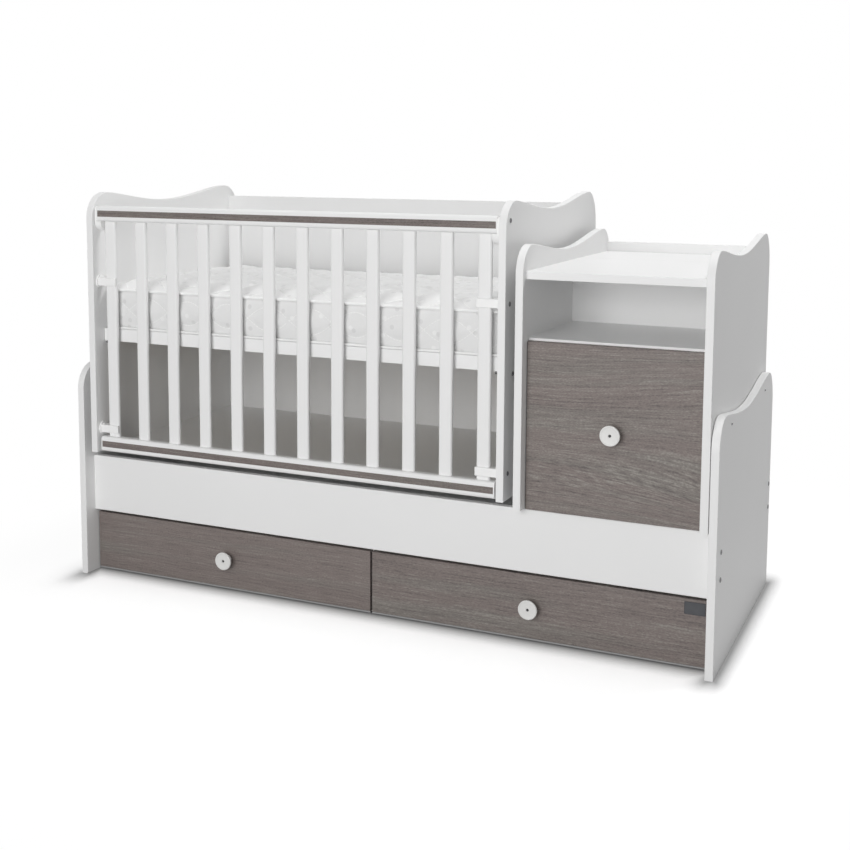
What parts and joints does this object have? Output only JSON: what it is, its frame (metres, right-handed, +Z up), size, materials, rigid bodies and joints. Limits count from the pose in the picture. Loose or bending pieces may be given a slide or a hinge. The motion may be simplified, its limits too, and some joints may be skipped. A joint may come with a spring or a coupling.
{
  "type": "convertible crib",
  "caption": "Convertible crib: a slatted drop-side cot that swings on rollers beside a changing cabinet, on a low bed base with wood-look drawers and wavy white side panels.",
  "frame": {"origin": "on the floor under the middle of the footprint", "axes": "+X along the length towards the changing cabinet, +Y to the back, +Z up"},
  "size_m": [1.654, 0.688, 1.0045],
  "materials": {
    "white_laminate": "satin",
    "wood_laminate": "satin",
    "pale_wood": "matte",
    "white_plastic": "satin",
    "roller_plastic": "satin",
    "zinc_steel": "satin",
    "dark_steel": "satin",
    "dark_plate": "satin",
    "mattress_fabric": "matte"
  },
  "bodies": {
    "base_frame": {"base_left_end_panel": "white_laminate", "base_right_end_panel": "white_laminate", "base_front_board": "white_laminate", "base_back_board": "white_laminate", "base_divider": "white_laminate", "base_deck": "white_laminate", "base_deck_battens": "white_laminate", "base_drawer_runners": "zinc_steel", "base_bolts": "dark_steel", "cabinet_left_panel": "white_laminate", "cabinet_right_panel": "white_laminate", "cabinet_feet": "white_plastic", "changing_top_front_board": "white_laminate", "changing_top_rear_board": "white_laminate", "changing_top_rear_rim": "white_laminate", "cabinet_shelf": "white_laminate", "cabinet_back_panel": "white_laminate", "cabinet_drawer_runners": "zinc_steel", "swing_roller_pins": "zinc_steel"},
    "left_drawer": {"left_drawer_front": "wood_laminate", "left_drawer_sides": "white_laminate", "left_drawer_back": "white_laminate", "left_drawer_bottom": "white_laminate", "left_drawer_knob": "white_plastic", "left_drawer_knob_screw": "dark_steel"},
    "right_drawer": {"right_drawer_front": "wood_laminate", "right_drawer_sides": "white_laminate", "right_drawer_back": "white_laminate", "right_drawer_bottom": "white_laminate", "right_drawer_knob": "white_plastic", "right_drawer_knob_screw": "dark_steel", "right_drawer_plate": "dark_plate"},
    "cabinet_drawer": {"cabinet_drawer_front": "wood_laminate", "cabinet_drawer_sides": "white_laminate", "cabinet_drawer_back": "white_laminate", "cabinet_drawer_bottom": "white_laminate", "cabinet_drawer_knob": "white_plastic", "cabinet_drawer_knob_screw": "dark_steel"},
    "crib": {"crib_left_panel": "white_laminate", "crib_right_panel": "white_laminate", "crib_back_panel": "white_laminate", "crib_floor": "white_laminate", "crib_bolts": "dark_steel", "mattress_base_rails": "white_laminate", "mattress_base_slats": "pale_wood", "mattress_base_supports": "dark_steel", "mattress": "mattress_fabric", "guide_clips": "white_plastic", "swing_rails": "zinc_steel"},
    "drop_side": {"drop_side_top_rail": "white_laminate", "drop_side_bottom_rail": "white_laminate", "drop_side_slats": "white_laminate", "top_rail_inlay": "wood_laminate", "bottom_rail_inlay": "wood_laminate", "rail_end_latches": "white_plastic"},
    "swing_roller_front_left": {"swing_roller_front_left": "roller_plastic"},
    "swing_roller_rear_left": {"swing_roller_rear_left": "roller_plastic"},
    "swing_roller_front_right": {"swing_roller_front_right": "roller_plastic"},
    "swing_roller_rear_right": {"swing_roller_rear_right": "roller_plastic"}
  },
  "joints": [
    {"name": "left_drawer_slide", "type": "slide", "parent": "base_frame", "child": "left_drawer", "axis": [0, -1, 0], "range_m": [0, 0.4]},
    {"name": "right_drawer_slide", "type": "slide", "parent": "base_frame", "child": "right_drawer", "axis": [0, -1, 0], "range_m": [0, 0.4]},
    {"name": "cabinet_drawer_slide", "type": "slide", "parent": "base_frame", "child": "cabinet_drawer", "axis": [0, -1, 0], "range_m": [0, 0.22]},
    {"name": "crib_swing", "type": "hinge", "parent": "base_frame", "child": "crib", "pos_m": [0, 0.0179, 1.24975], "axis": [1, 0, 0], "range_deg": [-2, 2]},
    {"name": "drop_side_slide", "type": "slide", "parent": "crib", "child": "drop_side", "axis": [0, 0, 1], "range_m": [-0.112, 0]},
    {"name": "swing_roller_front_left_spin", "type": "hinge", "parent": "base_frame", "child": "swing_roller_front_left", "pos_m": [-0.798, -0.1547, 0.456], "axis": [1, 0, 0], "range_deg": [-140, 140]},
    {"name": "swing_roller_rear_left_spin", "type": "hinge", "parent": "base_frame", "child": "swing_roller_rear_left", "pos_m": [-0.798, 0.1905, 0.456], "axis": [1, 0, 0], "range_deg": [-140, 140]},
    {"name": "swing_roller_front_right_spin", "type": "hinge", "parent": "base_frame", "child": "swing_roller_front_right", "pos_m": [0.3648, -0.1547, 0.456], "axis": [1, 0, 0], "range_deg": [-140, 140]},
    {"name": "swing_roller_rear_right_spin", "type": "hinge", "parent": "base_frame", "child": "swing_roller_rear_right", "pos_m": [0.3648, 0.1905, 0.456], "axis": [1, 0, 0], "range_deg": [-140, 140]}
  ],
  "couplings": [
    {"joint": "swing_roller_front_left_spin", "follows": "crib_swing", "ratio": -66.667},
    {"joint": "swing_roller_rear_left_spin", "follows": "crib_swing", "ratio": -66.667},
    {"joint": "swing_roller_front_right_spin", "follows": "crib_swing", "ratio": -66.667},
    {"joint": "swing_roller_rear_right_spin", "follows": "crib_swing", "ratio": -66.667}
  ]
}
